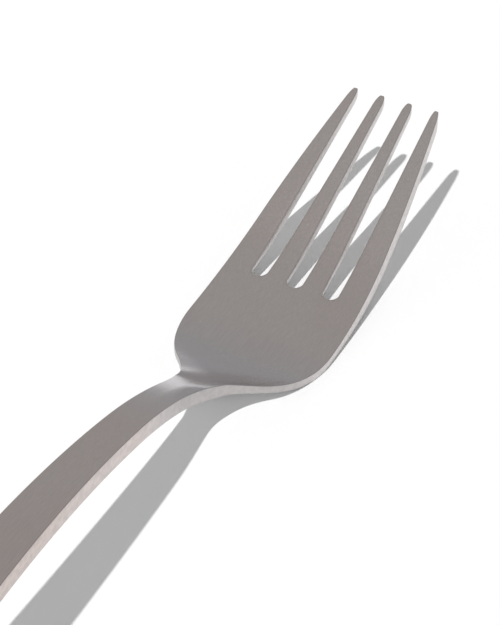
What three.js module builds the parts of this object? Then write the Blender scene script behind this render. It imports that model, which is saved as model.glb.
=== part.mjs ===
// Table fork: one piece of stainless steel sheet, pierced for its tines, bent and satin polished.
// X runs along the fork towards the tine tips, Y to its left and Z up. It lies on the plane z = 0.
// Sizes are in millimetres and degrees. A station is a distance from the tine tips along the fork.
import * as THREE from "three";
import { mergeVertices } from "three/addons/utils/BufferGeometryUtils.js";

// Plan view: the tines
const LENGTH = 200;
const TINE_COUNT = 4;
const TINE_LENGTH = 39.1;
const TIP_ROUNDING = 2;
const TIP_FLAT = 0.55;
const INNER_TINE_AT_TIPS = 1.6;
const OUTER_TINE_AT_TIPS = 1.26;
const SLOT_AT_TIPS = 3.64;
const INNER_TINE_AT_ROOTS = 3.87;
const SLOT_AT_ROOTS = 2.75;
const TIP_ROW_FLARE = 9.3;

// Plan view: the shoulders, the neck and the handle
const HEAD_WIDTH = 25.9;
const WIDEST_STATION = 50.5;
const SHOULDER_RADIUS = 18.7;
const NECK_FILLET_RADIUS = 17.8;
const NECK_WIDTH = 5.05;
const HANDLE_END_WIDTH = 10.7;
const HANDLE_CORNER_RADIUS = 4;

// Side view: bends and slopes away from the heel, the lowest place of the bowl
const HEEL_STATION = 53.5;
const BOWL_FRONT_RADIUS = 71.6;
const TINE_SLOPE = 20.85;
const BOWL_BACK_RADIUS = 28.5;
const NECK_SLOPE = 32.8;
const NECK_STRAIGHT = 1;
const NECK_BEND_RADIUS = 67;
const HANDLE_SLOPE = 11.9;
const TAIL_STRAIGHT = 40.6;
const STEEPEST_TAIL = 60;

// Section: how far the sides of the head curl up, and the upright thickness
const HEAD_DISH = 0.1;
const TIP_THICKNESS = 2.9;
const TINE_THICKNESS = 3.1;
const THICKEST_STATION = 22;
const HEEL_THICKNESS = 1.45;
const THINNEST_STATION = 62;
const HANDLE_THICKNESS = 2.8;

// Section: softened edges, rounder along the slots and eased most on their undersides
const EDGE_RADIUS = 0.15;
const SLOT_EDGE_RADIUS = 0.5;
const EASE_REACH = 1.9;
const EASE_DEPTH = 1.1;

// Fineness of the facets
const TINE_STEPS = 9;
const ROUND_STEPS = 5;
const BOWL_STEPS = 5;
const SHOULDER_STEPS = 7;
const HANDLE_STEPS = 24;
const TAIL_STEPS = 2;
const EASE_COLUMN = 0.4;
const SOLVER_STEPS = 40;
const MERGE_DISTANCE = 1e-4;

const { degToRad, lerp, smoothstep } = THREE.MathUtils;

// Places that follow from the sizes. The shoulder arc and the neck fillet meet at one slope.
const halfHead = HEAD_WIDTH / 2;
const halfNeck = NECK_WIDTH / 2;
const flankDrop = (halfHead - halfNeck) / (SHOULDER_RADIUS + NECK_FILLET_RADIUS);
const flankSlope = Math.acos(1 - flankDrop);
const flankStation = WIDEST_STATION + SHOULDER_RADIUS * Math.sin(flankSlope);
const neckStation = flankStation + NECK_FILLET_RADIUS * Math.sin(flankSlope);
const tailStation = LENGTH - TAIL_STRAIGHT;
const cornerStation = LENGTH - HANDLE_CORNER_RADIUS;
const innerTips = (TINE_COUNT - 2) * INNER_TINE_AT_TIPS;
const halfTips = OUTER_TINE_AT_TIPS + (innerTips + (TINE_COUNT - 1) * SLOT_AT_TIPS) / 2;
const slotRadius = SLOT_AT_ROOTS / 2;
const slotCentre = TINE_LENGTH - slotRadius;

// How far a circular arc has sunk below its tangent at a distance along that tangent.
function arcSag(radius, distance) {
  return radius - Math.sqrt(Math.max(radius * radius - distance * distance, 0));
}

// The outer edge of the outer tines leaves the tips at the flare and ends parallel to the fork.
const third = WIDEST_STATION / 3;
const tineEdge = new THREE.CubicBezierCurve(
  new THREE.Vector2(0, halfTips),
  new THREE.Vector2(third, halfTips + third * Math.tan(degToRad(TIP_ROW_FLARE))),
  new THREE.Vector2(2 * third, halfHead),
  new THREE.Vector2(WIDEST_STATION, halfHead),
);

function halfWidth(station) {
  if (station < WIDEST_STATION) {
    return tineEdge.getPoint(station / WIDEST_STATION).y;
  }
  if (station < flankStation) {
    return halfHead - arcSag(SHOULDER_RADIUS, station - WIDEST_STATION);
  }
  if (station < neckStation) {
    return halfNeck + arcSag(NECK_FILLET_RADIUS, neckStation - station);
  }
  const along = (station - neckStation) / (LENGTH - neckStation);
  const corner = arcSag(HANDLE_CORNER_RADIUS, Math.max(station - cornerStation, 0));
  return lerp(halfNeck, HANDLE_END_WIDTH / 2, along) - corner;
}

// Slots fan out from the tips to their round bottoms. Behind them their lines follow the outline.
function slotLine(slot, station) {
  const place = slot - (TINE_COUNT - 2) / 2;
  const rootPitch = SLOT_AT_ROOTS + INNER_TINE_AT_ROOTS;
  if (station < TINE_LENGTH) {
    return place * lerp(SLOT_AT_TIPS + INNER_TINE_AT_TIPS, rootPitch, station / TINE_LENGTH);
  }
  return (place * rootPitch * halfWidth(station)) / halfWidth(TINE_LENGTH);
}

function slotHalfWidth(station) {
  if (station < slotCentre) {
    return lerp(SLOT_AT_TIPS / 2, slotRadius, station / slotCentre);
  }
  return slotRadius - arcSag(slotRadius, Math.min(station - slotCentre, slotRadius));
}

// The right and left edge of one strip, which is a tine in front of the slot bottoms.
function stripEdges(strip, station) {
  const gap = slotHalfWidth(station);
  const outer = halfWidth(station);
  const right = strip === 0 ? -outer : slotLine(strip - 1, station) + gap;
  const left = strip === TINE_COUNT - 1 ? outer : slotLine(strip, station) - gap;
  const rounding = arcSag(TIP_ROUNDING, Math.max(TIP_ROUNDING - station, 0)) / TIP_ROUNDING;
  const middle = (left + right) / 2;
  return [lerp(right, middle - TIP_FLAT / 2, rounding), lerp(left, middle + TIP_FLAT / 2, rounding)];
}

// A chain of bends and straights, each tangent to the one before, as height over distance.
function bendChain(stretches) {
  const pieces = [];
  let run = 0;
  let rise = 0;
  let slope = 0;
  for (const { radius, toSlope, straight } of stretches) {
    const piece = { start: run, rise, slope, radius };
    pieces.push(piece);
    if (straight !== undefined) {
      run += straight;
      rise += straight * Math.tan(slope);
      continue;
    }
    piece.turn = Math.sign(toSlope - slope);
    run += radius * Math.abs(Math.sin(toSlope) - Math.sin(slope));
    rise += piece.turn * radius * (Math.cos(slope) - Math.cos(toSlope));
    slope = toSlope;
  }
  const height = (distance) => {
    const piece = pieces.findLast(({ start }) => start <= distance);
    if (piece.radius === undefined) {
      return piece.rise + (distance - piece.start) * Math.tan(piece.slope);
    }
    const across = distance - piece.start + piece.turn * piece.radius * Math.sin(piece.slope);
    const sag = arcSag(piece.radius, across) - arcSag(piece.radius, piece.radius * Math.sin(piece.slope));
    return piece.rise + piece.turn * sag;
  };
  return { height, run };
}

const frontProfile = bendChain([
  { radius: BOWL_FRONT_RADIUS, toSlope: degToRad(TINE_SLOPE) },
  { straight: HEEL_STATION },
]);

// The handle arches from the neck to its straight tail.
const neckStretches = [
  { radius: BOWL_BACK_RADIUS, toSlope: degToRad(NECK_SLOPE) },
  { straight: NECK_STRAIGHT },
  { radius: NECK_BEND_RADIUS, toSlope: degToRad(HANDLE_SLOPE) },
];
const archRun = tailStation - HEEL_STATION - bendChain(neckStretches).run;

function backProfile(tailSlope) {
  const turn = Math.sin(degToRad(HANDLE_SLOPE)) + Math.sin(tailSlope);
  return bendChain([
    ...neckStretches,
    { radius: archRun / turn, toSlope: -tailSlope },
    { straight: TAIL_STRAIGHT },
  ]);
}

// The sheet is thick in the tines and the handle, and thinnest behind the heel.
const thicknessKnots = [
  [0, TIP_THICKNESS],
  [THICKEST_STATION, TINE_THICKNESS],
  [HEEL_STATION, HEEL_THICKNESS],
  [THINNEST_STATION, HEEL_THICKNESS],
  [neckStation, HANDLE_THICKNESS],
];

function thickness(station) {
  let value = thicknessKnots[0][1];
  for (let knot = 1; knot < thicknessKnots.length; knot++) {
    const [from, before] = thicknessKnots[knot - 1];
    const [to, after] = thicknessKnots[knot];
    value += (after - before) * smoothstep(station, from, to);
  }
  return value;
}

function dish(station) {
  return HEAD_DISH * (1 - smoothstep(station, TINE_LENGTH, flankStation));
}

// The tail of the handle comes down until the underside of its end is as low as the heel.
function solveTail() {
  const endStation = LENGTH - EDGE_RADIUS;
  let low = 0;
  let high = degToRad(STEEPEST_TAIL);
  for (let round = 0; round < SOLVER_STEPS; round++) {
    const slope = (low + high) / 2;
    const end = backProfile(slope).height(endStation - HEEL_STATION) - thickness(endStation);
    if (end > -HEEL_THICKNESS) {
      low = slope;
    } else {
      high = slope;
    }
  }
  return backProfile(low);
}

const handleProfile = solveTail();

// Height of the top face over the middle of the heel's underside.
function topHeight(station, y) {
  const chain = station < HEEL_STATION ? frontProfile : handleProfile;
  const middle = chain.height(Math.abs(station - HEEL_STATION));
  return HEEL_THICKNESS + middle + dish(station) * (y / halfHead) ** 2;
}

// Distance to the nearest slot.
function slotDistance(strip, station, y) {
  if (station < slotCentre) {
    const [right, left] = stripEdges(strip, station);
    const fromRight = strip === 0 ? Infinity : y - right;
    const fromLeft = strip === TINE_COUNT - 1 ? Infinity : left - y;
    return Math.min(fromRight, fromLeft);
  }
  let nearest = Infinity;
  for (let slot = 0; slot < TINE_COUNT - 1; slot++) {
    const fromCentre = Math.hypot(y - slotLine(slot, station), station - slotCentre);
    nearest = Math.min(nearest, fromCentre - slotRadius);
  }
  return nearest;
}

// Distance to the outline of the whole fork.
function outlineDistance(strip, station, y) {
  const [right, left] = stripEdges(strip, station);
  const fromRight = strip === 0 ? y - right : Infinity;
  const fromLeft = strip === TINE_COUNT - 1 ? left - y : Infinity;
  return Math.min(fromRight, fromLeft, station, LENGTH - station);
}

// What a rounded edge takes off a face at a distance from that edge.
function edgeDrop(distance, reach, depth) {
  const inside = Math.max(reach - Math.max(distance, 0), 0);
  return (arcSag(reach, inside) * depth) / reach;
}

// Heights of the top and the bottom face.
function sheetHeights(strip, station, y) {
  const fromSlot = slotDistance(strip, station, y);
  const outlineDrop = edgeDrop(outlineDistance(strip, station, y), EDGE_RADIUS, EDGE_RADIUS);
  const slotDrop = edgeDrop(fromSlot, SLOT_EDGE_RADIUS, SLOT_EDGE_RADIUS);
  const ease = edgeDrop(fromSlot, EASE_REACH, EASE_DEPTH);
  const top = topHeight(station, y);
  const bottom = top - thickness(station);
  return [top - Math.max(outlineDrop, slotDrop), bottom + Math.max(outlineDrop, ease)];
}

// Values from one end to the other in even steps, without the first.
function steps(from, to, count) {
  return Array.from({ length: count }, (_, step) => lerp(from, to, (step + 1) / count));
}

// Shares of a quarter turn, close together where the curve is steep.
const quarter = steps(0, Math.PI / 2, ROUND_STEPS).map(Math.sin);
const edgeShares = [0, 1 - Math.SQRT1_2, 1];

const stations = [
  ...quarter.map((share) => TIP_ROUNDING * (1 - share)).reverse(),
  TIP_ROUNDING,
  ...steps(TIP_ROUNDING, slotCentre, TINE_STEPS),
  ...quarter.map((share) => slotCentre + slotRadius * share),
  ...edgeShares.slice(1).map((share) => TINE_LENGTH + EDGE_RADIUS * share),
  ...steps(TINE_LENGTH + EDGE_RADIUS, WIDEST_STATION, BOWL_STEPS),
  ...steps(WIDEST_STATION, flankStation, SHOULDER_STEPS),
  ...steps(flankStation, neckStation, SHOULDER_STEPS),
  ...steps(neckStation, tailStation, HANDLE_STEPS),
  ...steps(tailStation, cornerStation, TAIL_STEPS),
  ...quarter.map((share) => cornerStation + HANDLE_CORNER_RADIUS * share),
];
const slotEnd = stations.indexOf(slotCentre + slotRadius);

// Where the points of a strip lie across it: close together along both edges, and in the middle.
function stripColumns(strip, station) {
  const [right, left] = stripEdges(strip, station);
  const reach = Math.min(EDGE_RADIUS, (left - right) / 3);
  const fromRight = edgeShares.map((share) => right + reach * share);
  const fromLeft = edgeShares.map((share) => left - reach * share);
  const middle = (left + right) / 2;
  const easedRight = lerp(right + reach, middle, EASE_COLUMN);
  const easedLeft = lerp(left - reach, middle, EASE_COLUMN);
  return [...fromRight, easedRight, middle, easedLeft, ...fromLeft.reverse()];
}

// One closed skin: each strip has a top and a bottom face, and walls along its free edges.
function forkGeometry() {
  const positions = [];
  const faces = [];
  const addPoint = (station, y, z) => positions.push(LENGTH / 2 - station, y, z) / 3 - 1;
  const addQuad = (a, b, c, d) => faces.push(a, b, c, a, c, d);

  for (let strip = 0; strip < TINE_COUNT; strip++) {
    const rows = stations.map((station) =>
      stripColumns(strip, station).map((y) => {
        const [top, bottom] = sheetHeights(strip, station, y);
        return { top: addPoint(station, y, top), bottom: addPoint(station, y, bottom) };
      }),
    );
    const last = rows[0].length - 1;
    for (let row = 1; row < rows.length; row++) {
      const front = rows[row - 1];
      const back = rows[row];
      for (let column = 1; column <= last; column++) {
        const right = column - 1;
        addQuad(back[right].top, front[right].top, front[column].top, back[column].top);
        addQuad(front[right].bottom, back[right].bottom, back[column].bottom, front[column].bottom);
      }
      const isTine = row <= slotEnd;
      if (isTine || strip === 0) {
        addQuad(front[0].top, back[0].top, back[0].bottom, front[0].bottom);
      }
      if (isTine || strip === TINE_COUNT - 1) {
        addQuad(back[last].top, front[last].top, front[last].bottom, back[last].bottom);
      }
    }
    const tip = rows[0];
    const end = rows.at(-1);
    for (let column = 1; column <= last; column++) {
      const right = column - 1;
      addQuad(tip[right].top, tip[right].bottom, tip[column].bottom, tip[column].top);
      addQuad(end[right].bottom, end[right].top, end[column].top, end[column].bottom);
    }
  }

  const skin = new THREE.BufferGeometry();
  skin.setAttribute("position", new THREE.Float32BufferAttribute(positions, 3));
  skin.setIndex(faces);
  skin.computeBoundingBox();
  skin.translate(0, 0, -skin.boundingBox.min.z);
  const merged = mergeVertices(skin, MERGE_DISTANCE);
  merged.computeVertexNormals();
  return merged;
}

const satinSteel = new THREE.MeshStandardMaterial({ color: 0x938e8c, roughness: 0.4, metalness: 1 });
const fork = new THREE.Mesh(forkGeometry(), satinSteel);
fork.name = "fork";

const part = new THREE.Group();
part.add(fork);

export default part;
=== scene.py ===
import math

import bmesh
import bpy
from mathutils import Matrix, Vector


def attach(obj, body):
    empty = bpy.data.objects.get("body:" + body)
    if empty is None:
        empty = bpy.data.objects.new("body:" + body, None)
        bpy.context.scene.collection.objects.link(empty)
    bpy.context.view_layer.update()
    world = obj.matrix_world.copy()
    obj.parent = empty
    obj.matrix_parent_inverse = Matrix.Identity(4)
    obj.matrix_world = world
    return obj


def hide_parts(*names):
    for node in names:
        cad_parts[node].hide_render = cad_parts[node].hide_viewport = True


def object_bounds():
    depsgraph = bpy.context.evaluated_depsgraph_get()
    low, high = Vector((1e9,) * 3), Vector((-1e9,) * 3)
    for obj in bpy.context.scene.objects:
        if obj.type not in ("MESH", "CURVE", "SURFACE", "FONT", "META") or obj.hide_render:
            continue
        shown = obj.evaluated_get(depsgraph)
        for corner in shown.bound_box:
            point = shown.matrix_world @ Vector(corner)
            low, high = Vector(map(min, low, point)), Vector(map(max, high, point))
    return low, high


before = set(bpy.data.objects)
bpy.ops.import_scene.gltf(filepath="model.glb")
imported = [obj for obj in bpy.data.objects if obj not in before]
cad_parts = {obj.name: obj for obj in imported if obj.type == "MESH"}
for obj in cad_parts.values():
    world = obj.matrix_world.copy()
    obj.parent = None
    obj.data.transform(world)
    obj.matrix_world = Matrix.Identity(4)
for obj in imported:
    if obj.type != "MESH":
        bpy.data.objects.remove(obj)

cad_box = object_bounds()

# Sizes of the fork, in millimetres and degrees
LENGTH = 200
TINE_COUNT = 4
TINE_LENGTH = 39.1
TIP_ROUNDING = 2.0
TIP_FLAT = 0.55
INNER_TINE_AT_TIPS = 1.6
OUTER_TINE_AT_TIPS = 1.26
SLOT_AT_TIPS = 3.64
INNER_TINE_AT_ROOTS = 3.87
SLOT_AT_ROOTS = 2.75
TIP_ROW_FLARE = 9.3
HEAD_WIDTH = 25.9
WIDEST_STATION = 50.5
SHOULDER_RADIUS = 19.05
NECK_FILLET_RADIUS = 18.7
NECK_WIDTH = 5.1
HANDLE_END_WIDTH = 10.7
HANDLE_CORNER_RADIUS = 4
HEEL_STATION = 53.5
BOWL_FRONT_RADIUS = 71.6
TINE_SLOPE = 20.85
BOWL_BACK_RADIUS = 28.5
NECK_SLOPE = 32.8
NECK_STRAIGHT = 1
NECK_BEND_RADIUS = 67
HANDLE_SLOPE = 11.9
TAIL_STRAIGHT = 40.6
HEAD_DISH = 0.1
TIP_THICKNESS = 2.9
TINE_THICKNESS = 3.1
THICKEST_STATION = 22
HEEL_THICKNESS = 1.45
THINNEST_STATION = 62
HANDLE_THICKNESS = 2.8
EDGE_RADIUS = 0.15
EASE_REACH = 1.9
EASE_DEPTH = 1.65
TIP_EDGE_RADIUS = 0.25
ROOT_EDGE_RADIUS = 0.4

# How far the neck's sides rise, fall, twist and spread, each from a start over a peak to an end
CURL_POWER = 1.75
RIGHT_RAISE = 0.42
RIGHT_STATIONS = (56, 67.5, 77)
RIGHT_FALL = 0.6
FALL_STATIONS = (71.5, 77, 92)
LEFT_RAISE = 0.3
LEFT_STATIONS = (56, 64, 75)
NECK_TWIST = 0.3
TWIST_STATIONS = (63.5, 69, 72.3)
RIGHT_SPREAD = 0.45
SPREAD_STATIONS = (56, 68.5, 79)
RIGHT_NARROWING = 0.3

# Places along and across the fork that follow from the sizes
half_head = HEAD_WIDTH / 2
half_neck = NECK_WIDTH / 2
flank_slope = math.acos(1 - (half_head - half_neck) / (SHOULDER_RADIUS + NECK_FILLET_RADIUS))
flank_station = WIDEST_STATION + SHOULDER_RADIUS * math.sin(flank_slope)
neck_station = flank_station + NECK_FILLET_RADIUS * math.sin(flank_slope)
tail_station = LENGTH - TAIL_STRAIGHT
corner_station = LENGTH - HANDLE_CORNER_RADIUS
inner_tines = (TINE_COUNT - 2) * INNER_TINE_AT_TIPS
half_tips = (2 * OUTER_TINE_AT_TIPS + inner_tines + (TINE_COUNT - 1) * SLOT_AT_TIPS) / 2
slot_radius = SLOT_AT_ROOTS / 2
slot_centre = TINE_LENGTH - slot_radius


def lerp(a, b, t):
    return a + (b - a) * t


def smoothstep(value, low, high):
    t = min(max((value - low) / (high - low), 0), 1)
    return t * t * (3 - 2 * t)


def arc_sag(radius, distance):
    return radius - math.sqrt(max(radius * radius - distance * distance, 0))


def half_width(station):
    if station < WIDEST_STATION:
        t = station / WIDEST_STATION
        flared = half_tips + WIDEST_STATION / 3 * math.tan(math.radians(TIP_ROW_FLARE))
        return (1 - t) ** 3 * half_tips + 3 * (1 - t) ** 2 * t * flared + (3 - 2 * t) * t * t * half_head
    if station < flank_station:
        return half_head - arc_sag(SHOULDER_RADIUS, station - WIDEST_STATION)
    if station < neck_station:
        return half_neck + arc_sag(NECK_FILLET_RADIUS, neck_station - station)
    along = (station - neck_station) / (LENGTH - neck_station)
    corner = arc_sag(HANDLE_CORNER_RADIUS, max(station - corner_station, 0))
    return lerp(half_neck, HANDLE_END_WIDTH / 2, along) - corner


def swell(station, places):
    start, peak, end = places
    return smoothstep(station, start, peak) * (1 - smoothstep(station, peak, end))


def right_narrowing(station):
    return RIGHT_NARROWING * swell(station, FALL_STATIONS)


def right_half_width(station):
    spread = RIGHT_SPREAD * swell(station, SPREAD_STATIONS)
    return half_width(station) + spread - right_narrowing(station)


def slot_line(slot, station):
    place = slot - (TINE_COUNT - 2) / 2
    root_pitch = SLOT_AT_ROOTS + INNER_TINE_AT_ROOTS
    if station < TINE_LENGTH:
        return place * lerp(SLOT_AT_TIPS + INNER_TINE_AT_TIPS, root_pitch, station / TINE_LENGTH)
    return place * root_pitch * half_width(station) / half_width(TINE_LENGTH)


def slot_half_width(station):
    if station < slot_centre:
        return lerp(SLOT_AT_TIPS / 2, slot_radius, station / slot_centre)
    return slot_radius - arc_sag(slot_radius, min(station - slot_centre, slot_radius))


def strip_edges(strip, station):
    gap = slot_half_width(station)
    right = -right_half_width(station) if strip == 0 else slot_line(strip - 1, station) + gap
    left = half_width(station) if strip == TINE_COUNT - 1 else slot_line(strip, station) - gap
    rounding = arc_sag(TIP_ROUNDING, max(TIP_ROUNDING - station, 0)) / TIP_ROUNDING
    middle = (left + right) / 2
    return lerp(right, middle - TIP_FLAT / 2, rounding), lerp(left, middle + TIP_FLAT / 2, rounding)


# A chain of tangent bends and straights, as pieces of height over distance
def bend_chain(stretches):
    pieces = []
    run = rise = slope = 0.0
    for radius, amount in stretches:
        if radius is None:
            pieces.append((run, rise, slope, None, 0))
            run += amount
            rise += amount * math.tan(slope)
            continue
        end = math.radians(amount)
        turn = 1 if end > slope else -1
        pieces.append((run, rise, slope, radius, turn))
        run += radius * abs(math.sin(end) - math.sin(slope))
        rise += turn * radius * (math.cos(slope) - math.cos(end))
        slope = end
    return pieces, run


def chain_height(pieces, distance):
    start, rise, slope, radius, turn = [p for p in pieces if p[0] <= distance][-1]
    if radius is None:
        return rise + (distance - start) * math.tan(slope)
    across = distance - start + turn * radius * math.sin(slope)
    return rise + turn * (arc_sag(radius, across) - arc_sag(radius, radius * math.sin(slope)))


def thickness(station):
    value = TIP_THICKNESS
    knots = [
        (0, TIP_THICKNESS),
        (THICKEST_STATION, TINE_THICKNESS),
        (HEEL_STATION, HEEL_THICKNESS),
        (THINNEST_STATION, HEEL_THICKNESS),
        (neck_station, HANDLE_THICKNESS),
    ]
    for (low, before), (high, after) in zip(knots, knots[1:]):
        value += (after - before) * smoothstep(station, low, high)
    return value


def dish(station):
    return HEAD_DISH * (1 - smoothstep(station, TINE_LENGTH, flank_station))


front_chain, _ = bend_chain([(BOWL_FRONT_RADIUS, TINE_SLOPE), (None, HEEL_STATION)])
neck_stretches = [
    (BOWL_BACK_RADIUS, NECK_SLOPE),
    (None, NECK_STRAIGHT),
    (NECK_BEND_RADIUS, HANDLE_SLOPE),
]
arch_run = tail_station - HEEL_STATION - bend_chain(neck_stretches)[1]


def back_chain(tail_slope):
    turn = math.sin(math.radians(HANDLE_SLOPE)) + math.sin(math.radians(tail_slope))
    return bend_chain([*neck_stretches, (arch_run / turn, -tail_slope), (None, TAIL_STRAIGHT)])[0]


# The tail comes down until the underside of its end is as low as the heel
low, high = 0.0, 60.0
for _ in range(40):
    middle = (low + high) / 2
    end_station = LENGTH - EDGE_RADIUS
    end = chain_height(back_chain(middle), end_station - HEEL_STATION) - thickness(end_station)
    low, high = (middle, high) if end > -HEEL_THICKNESS else (low, middle)
handle_chain = back_chain(low)


def top_height(station, y):
    chain = front_chain if station < HEEL_STATION else handle_chain
    middle = chain_height(chain, abs(station - HEEL_STATION))
    if y < 0:
        side = -y / right_half_width(station)
        raised = RIGHT_RAISE * swell(station, RIGHT_STATIONS)
        twisted = NECK_TWIST * swell(station, TWIST_STATIONS)
    else:
        side = y / half_width(station)
        raised = LEFT_RAISE * swell(station, LEFT_STATIONS)
        twisted = -NECK_TWIST * swell(station, TWIST_STATIONS)
    neck = raised * side ** CURL_POWER + twisted * side
    return HEEL_THICKNESS + middle + dish(station) * (y / half_head) ** 2 + neck


def right_fall(station, y):
    side = max(-y, 0) / right_half_width(station)
    return RIGHT_FALL * swell(station, FALL_STATIONS) * side ** CURL_POWER


def slot_distance(strip, station, y):
    if station < slot_centre:
        right, left = strip_edges(strip, station)
        from_right = math.inf if strip == 0 else y - right
        from_left = math.inf if strip == TINE_COUNT - 1 else left - y
        return max(min(from_right, from_left), 0)
    distances = [
        math.hypot(y - slot_line(slot, station), station - slot_centre) - slot_radius
        for slot in range(TINE_COUNT - 1)
    ]
    return max(min(distances), 0)


def edge_distance(strip, station, y):
    right, left = strip_edges(strip, station)
    from_right = y - right if strip == 0 else math.inf
    from_left = left - y if strip == TINE_COUNT - 1 else math.inf
    from_slot = slot_distance(strip, station, y)
    return max(min(from_slot, from_right, from_left, station, LENGTH - station), 0)


def quarter_drop(distance, reach, depth):
    return arc_sag(reach, max(reach - distance, 0)) / reach * depth


# Fine stations and columns of the skin
def steps(start, end, longest):
    count = max(round(abs(end - start) / longest), 1)
    return [lerp(start, end, (i + 1) / count) for i in range(count)]


ROUND_STEPS = 10
EDGE_STEPS = 5
SUPPORT = 1.35
quarter = [math.sin(math.pi / 2 * (i + 1) / ROUND_STEPS) for i in range(ROUND_STEPS)]
edge_shares = [1 - math.cos(math.pi / 2 * i / EDGE_STEPS) for i in range(EDGE_STEPS + 1)] + [SUPPORT]
stations = [TIP_ROUNDING * (1 - share) for share in reversed(quarter)] + [TIP_ROUNDING]
stations += steps(TIP_ROUNDING, slot_centre, 0.8)
stations += [slot_centre + slot_radius * share for share in quarter]
stations += [TINE_LENGTH + EDGE_RADIUS * share for share in edge_shares[1:]]
stations += steps(stations[-1], WIDEST_STATION, 0.8)
stations += steps(WIDEST_STATION, flank_station, 0.7)
stations += steps(flank_station, neck_station, 0.7)
stations += steps(neck_station, tail_station, 1.6)
stations += steps(tail_station, corner_station, 4.0)
stations += [corner_station + HANDLE_CORNER_RADIUS * share for share in quarter]
# The rounding along the straight part of the handle's end
stations = sorted({*stations, *(LENGTH - EDGE_RADIUS * share for share in edge_shares[1:])})
slot_end = min(range(len(stations)), key=lambda i: abs(stations[i] - TINE_LENGTH))
MIDDLE_COLUMNS = 9
WEAR_REACH = 0.4
WELD_DISTANCE = 1e-7


def strip_columns(strip, station):
    right, left = strip_edges(strip, station)
    reach = min(EDGE_RADIUS, (left - right) / 3)
    from_right = [right + reach * share for share in edge_shares]
    from_left = [left - reach * share for share in reversed(edge_shares)]
    shares = [(i + 1) / (MIDDLE_COLUMNS + 1) for i in range(MIDDLE_COLUMNS)]
    inner = [lerp(from_right[-1], from_left[0], share) for share in shares]
    return from_right + inner + from_left


def build_fork():
    bm = bmesh.new()
    wear = bm.verts.layers.float.new("edge_wear")

    def point(station, y, z, worn):
        vert = bm.verts.new(((LENGTH / 2 - station) / 1000, y / 1000, z / 1000))
        vert[wear] = worn
        return vert

    for strip in range(TINE_COUNT):
        tops, bottoms = [], []
        for station in stations:
            top_row, bottom_row = [], []
            flare = 1 + right_narrowing(station) / right_half_width(station)
            for y in strip_columns(strip, station):
                distance = edge_distance(strip, station, y)
                from_slot = slot_distance(strip, station, y)
                drop = quarter_drop(distance, EDGE_RADIUS, EDGE_RADIUS)
                soft = lerp(TIP_EDGE_RADIUS, ROOT_EDGE_RADIUS, min(station / TINE_LENGTH, 1))
                slot_drop = quarter_drop(from_slot, soft, soft)
                ease = quarter_drop(from_slot, EASE_REACH, EASE_DEPTH)
                worn = 1 - min(distance / WEAR_REACH, 1)
                top = top_height(station, y)
                top_z = top - right_fall(station, y) - max(drop, slot_drop)
                bottom_z = top - thickness(station) + max(drop, ease)
                bottom_y = y * flare if y < 0 else y
                top_row.append(point(station, y, top_z, worn))
                bottom_row.append(point(station, bottom_y, bottom_z, worn))
            tops.append(top_row)
            bottoms.append(bottom_row)
        last = len(tops[0]) - 1
        for row in range(1, len(stations)):
            front, back = tops[row - 1], tops[row]
            under_front, under_back = bottoms[row - 1], bottoms[row]
            for c in range(1, last + 1):
                bm.faces.new((back[c - 1], front[c - 1], front[c], back[c]))
                bm.faces.new((under_front[c - 1], under_back[c - 1], under_back[c], under_front[c]))
            is_tine = row <= slot_end
            if is_tine or strip == 0:
                bm.faces.new((front[0], back[0], under_back[0], under_front[0]))
            if is_tine or strip == TINE_COUNT - 1:
                bm.faces.new((back[last], front[last], under_front[last], under_back[last]))
        tip_top, tip_bottom, end_top, end_bottom = tops[0], bottoms[0], tops[-1], bottoms[-1]
        for c in range(1, last + 1):
            bm.faces.new((tip_top[c - 1], tip_bottom[c - 1], tip_bottom[c], tip_top[c]))
            bm.faces.new((end_bottom[c - 1], end_top[c - 1], end_top[c], end_bottom[c]))
    bmesh.ops.remove_doubles(bm, verts=bm.verts, dist=WELD_DISTANCE)
    lowest = min(v.co.z for v in bm.verts)
    for vert in bm.verts:
        vert.co.z = min(vert.co.z - lowest, cad_box[1][2])
    for face in bm.faces:
        face.smooth = True
    mesh = bpy.data.meshes.new("fork_skin")
    bm.to_mesh(mesh)
    bm.free()
    obj = bpy.data.objects.new("fork_skin", mesh)
    bpy.context.scene.collection.objects.link(obj)
    return obj


# Satin steel
HEAD_TONE = (0.675, 0.625, 0.605)
HANDLE_TONE = (0.655, 0.577, 0.552)
NECK_TONE = (0.61, 0.592, 0.61)
# Painted light: a brighter back that lightens the shadow under the head
BACK_FILL_TONE = (0.85, 0.85, 0.85)
EDGE_TONE = 0.94
HEAD_WALL_TONE = (0.686, 0.654, 0.646)
# Painted shade on the neck's walls, standing in for the floor's shadow they reflect
NECK_WALL_SHADE = 0.75
WALL_ROUGHNESS = 0.2
WALL_RELIEF = 0.55
POLISH = (0.17, 0.25)
BRUSH_RELIEF = 0.15
BUMP_STRENGTH = 0.3
BUMP_DEPTH = 0.00006
BRUSH_SCALE = (320, 6500, 6500)
SPECK_SCALE = (900, 2600, 2600)
CLOUD_SCALE = (45, 70, 70)
MOTTLE_SCALE = (1100, 1100, 1100)


def node(tree, kind, **values):
    made = tree.nodes.new(kind)
    for key, value in values.items():
        setattr(made, key, value)
    return made


def noise(tree, coords, scale, detail, roughness=0.5):
    stretch = node(tree, "ShaderNodeMapping")
    stretch.inputs["Scale"].default_value = scale
    tree.links.new(coords, stretch.inputs["Vector"])
    made = node(tree, "ShaderNodeTexNoise")
    made.inputs["Scale"].default_value = 1.0
    made.inputs["Detail"].default_value = detail
    made.inputs["Roughness"].default_value = roughness
    tree.links.new(stretch.outputs["Vector"], made.inputs["Vector"])
    return made.outputs["Fac"]


def ramp(tree, value, low, high, to_low, to_high):
    made = node(tree, "ShaderNodeMapRange", interpolation_type="SMOOTHSTEP")
    for name, number in (("From Min", low), ("From Max", high), ("To Min", to_low), ("To Max", to_high)):
        made.inputs[name].default_value = number
    tree.links.new(value, made.inputs["Value"])
    return made.outputs["Result"]


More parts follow.
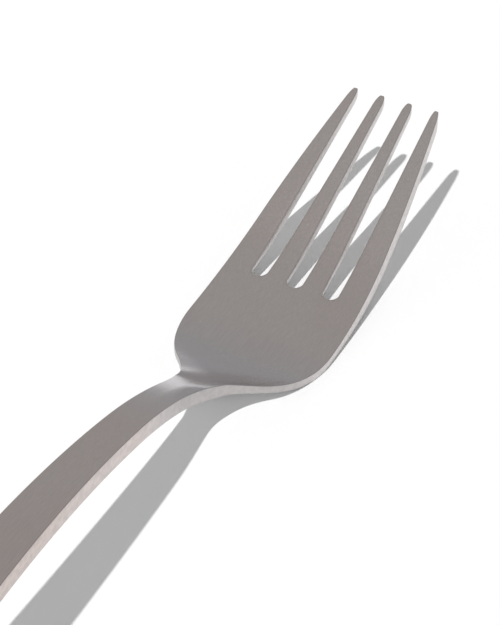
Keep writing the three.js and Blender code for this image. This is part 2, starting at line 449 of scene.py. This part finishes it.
def math_node(tree, operation, first, second):
    made = node(tree, "ShaderNodeMath", operation=operation)
    for socket, value in zip(made.inputs, (first, second)):
        if isinstance(value, (int, float)):
            socket.default_value = value
        else:
            tree.links.new(value, socket)
    return made.outputs["Value"]


def mix_colours(tree, share, first, second):
    made = node(tree, "ShaderNodeMix", data_type="RGBA")
    tree.links.new(share, made.inputs["Factor"])
    for name, value in (("A", first), ("B", second)):
        socket = next(s for s in made.inputs if s.name == name and s.type == "RGBA")
        if isinstance(value, tuple):
            socket.default_value = (*value, 1)
        else:
            tree.links.new(value, socket)
    return next(s for s in made.outputs if s.type == "RGBA")


def satin_steel():
    material = bpy.data.materials.new("satin_steel")
    material.use_nodes = True
    tree = material.node_tree
    shader = tree.nodes["Principled BSDF"]
    shader.inputs["Metallic"].default_value = 1.0
    coords = node(tree, "ShaderNodeTexCoord")
    place = coords.outputs["Object"]
    axes = node(tree, "ShaderNodeSeparateXYZ")
    tree.links.new(place, axes.inputs["Vector"])
    facing = node(tree, "ShaderNodeSeparateXYZ")
    tree.links.new(coords.outputs["Normal"], facing.inputs["Vector"])
    edge = node(tree, "ShaderNodeAttribute", attribute_name="edge_wear").outputs["Fac"]
    # The blanked side walls are left rougher than the polished faces
    upright = math_node(tree, "ABSOLUTE", facing.outputs["Z"], 0)
    wall = ramp(tree, upright, 0.35, 0.8, 1, 0)
    brush = noise(tree, place, BRUSH_SCALE, 4, 0.6)
    speck = noise(tree, place, SPECK_SCALE, 2)
    cloud = noise(tree, place, CLOUD_SCALE, 2)
    mottle = noise(tree, place, MOTTLE_SCALE, 3, 0.6)
    # Polished tone, warmer along the handle and clouded a little
    along = ramp(tree, axes.outputs["X"], 0.0, 0.035, 0.75, 0.25)
    warm = math_node(tree, "ADD", along, ramp(tree, cloud, 0.35, 0.65, -0.25, 0.25))
    # The neck is cooler than the rest
    behind = ramp(tree, axes.outputs["X"], 0.004, 0.027, 0, 1)
    before = ramp(tree, axes.outputs["X"], 0.036, 0.052, 1, 0)
    neck = math_node(tree, "MULTIPLY", behind, before)
    head_and_handle = mix_colours(tree, warm, HEAD_TONE, HANDLE_TONE)
    face = mix_colours(tree, neck, head_and_handle, NECK_TONE)
    # The back of the fork is painted brighter than its face, as painted light that lightens the shadow
    # on the floor under the head
    under = ramp(tree, facing.outputs["Z"], -0.6, -0.1, 1, 0)
    back_brightened = mix_colours(tree, under, face, BACK_FILL_TONE)
    # The walls of the head and the neck are greyer than those of the handle
    head_wall = math_node(tree, "MULTIPLY", wall, ramp(tree, axes.outputs["X"], 0.005, 0.03, 0, 1))
    tone = mix_colours(tree, head_wall, back_brightened, HEAD_WALL_TONE)
    lines = ramp(tree, brush, 0.3, 0.7, 0.965, 1.035)
    spots = ramp(tree, speck, 0.72, 0.8, 1.0, 1.25)
    faces = math_node(tree, "MULTIPLY", lines, spots)
    pits = ramp(tree, mottle, 0.3, 0.7, 0.93, 1.09)
    # The walls of the neck are painted darker, as painted shade standing in for the shadowed floor they
    # reflect
    neck_wall_shade = ramp(tree, neck, 0, 1, 1, NECK_WALL_SHADE)
    walls = math_node(tree, "MULTIPLY", pits, neck_wall_shade)
    level = node(tree, "ShaderNodeMix", data_type="FLOAT")
    tree.links.new(wall, level.inputs["Factor"])
    tree.links.new(faces, level.inputs["A"])
    tree.links.new(walls, level.inputs["B"])
    dark_edge = ramp(tree, edge, 0.2, 1.0, 1.0, EDGE_TONE)
    worn = math_node(tree, "MULTIPLY", level.outputs["Result"], dark_edge)
    scaled = node(tree, "ShaderNodeVectorMath", operation="SCALE")
    tree.links.new(tone, scaled.inputs[0])
    tree.links.new(worn, scaled.inputs["Scale"])
    tree.links.new(scaled.outputs["Vector"], shader.inputs["Base Color"])
    polish = ramp(tree, brush, 0.3, 0.7, *POLISH)
    rough = math_node(tree, "ADD", polish, ramp(tree, wall, 0, 1, 0, WALL_ROUGHNESS))
    tree.links.new(rough, shader.inputs["Roughness"])
    relief = math_node(tree, "MULTIPLY", mottle, ramp(tree, wall, 0, 1, 0, WALL_RELIEF))
    height = math_node(tree, "ADD", math_node(tree, "MULTIPLY", brush, BRUSH_RELIEF), relief)
    bump = node(tree, "ShaderNodeBump")
    bump.inputs["Strength"].default_value = BUMP_STRENGTH
    bump.inputs["Distance"].default_value = BUMP_DEPTH
    tree.links.new(height, bump.inputs["Height"])
    tree.links.new(bump.outputs["Normal"], shader.inputs["Normal"])
    return material


fork = build_fork()
fork.data.materials.append(satin_steel())
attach(fork, "root")
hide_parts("fork")

# White floor, in metres
FLOOR_REACH = 6
WHITE_MIDDLE = (0.054, 0.004, 0)
WHITE_RADIUS = 0.13
FADE_RADIUS = 0.36
NEAR_FLOOR_COLOUR = (0.97, 0.97, 0.97)
FAR_FLOOR_COLOUR = (0.45, 0.45, 0.45)
floor_corners = [
    (-FLOOR_REACH, -FLOOR_REACH, 0),
    (FLOOR_REACH, -FLOOR_REACH, 0),
    (FLOOR_REACH, FLOOR_REACH, 0),
    (-FLOOR_REACH, FLOOR_REACH, 0),
]
floor_mesh = bpy.data.meshes.new("floor")
floor_mesh.from_pydata(floor_corners, [], [(0, 1, 2, 3)])
floor = bpy.data.objects.new("floor", floor_mesh)
bpy.context.scene.collection.objects.link(floor)
white = bpy.data.materials.new("white_floor")
white.use_nodes = True
paint = white.node_tree.nodes["Principled BSDF"]
# The floor is white around the fork and fades to grey further out, beyond the camera's view
spot = node(white.node_tree, "ShaderNodeNewGeometry")
from_middle = node(white.node_tree, "ShaderNodeVectorMath", operation="DISTANCE")
from_middle.inputs[1].default_value = WHITE_MIDDLE
white.node_tree.links.new(spot.outputs["Position"], from_middle.inputs[0])
fade = ramp(white.node_tree, from_middle.outputs["Value"], WHITE_RADIUS, FADE_RADIUS, 0, 1)
floor_tone = mix_colours(white.node_tree, fade, NEAR_FLOOR_COLOUR, FAR_FLOOR_COLOUR)
white.node_tree.links.new(floor_tone, paint.inputs["Base Color"])
paint.inputs["Roughness"].default_value = 1.0
paint.inputs["Specular IOR Level"].default_value = 0.0
floor_mesh.materials.append(white)

# Even grey surroundings and one distant lamp
SKY_STRENGTH = 0.405
LAMP_STRENGTH = 2.19
LAMP_ANGLE = 1.5
TO_LAMP = Vector((-0.463, 0.102, 1))
world = bpy.data.worlds.new("studio")
bpy.context.scene.world = world
world.use_nodes = True
sky = world.node_tree.nodes["Background"]
sky.inputs["Color"].default_value = (1, 1, 1, 1)
sky.inputs["Strength"].default_value = SKY_STRENGTH
lamp = bpy.data.lights.new("lamp", "SUN")
lamp.energy = LAMP_STRENGTH
lamp.angle = math.radians(LAMP_ANGLE)
sun = bpy.data.objects.new("lamp", lamp)
sun.rotation_euler = TO_LAMP.to_track_quat("Z", "Y").to_euler()
bpy.context.scene.collection.objects.link(sun)

# Camera of the photograph
AZIMUTH = math.radians(28.212)
ELEVATION = math.radians(39.87)
DISTANCE = 0.321903
TARGET = Vector((0.054763, 0.004554, 0))
LENS = 112.633
back = Vector((
    -math.cos(AZIMUTH) * math.cos(ELEVATION),
    -math.sin(AZIMUTH) * math.cos(ELEVATION),
    math.sin(ELEVATION),
))
camera_data = bpy.data.cameras.new("camera")
camera_data.lens = LENS
camera_data.clip_start = 0.01
camera = bpy.data.objects.new("camera", camera_data)
camera.location = TARGET + DISTANCE * back
camera.rotation_euler = back.to_track_quat("Z", "Y").to_euler()
bpy.context.scene.collection.objects.link(camera)
bpy.context.scene.camera = camera
bpy.context.scene.view_settings.view_transform = "Standard"
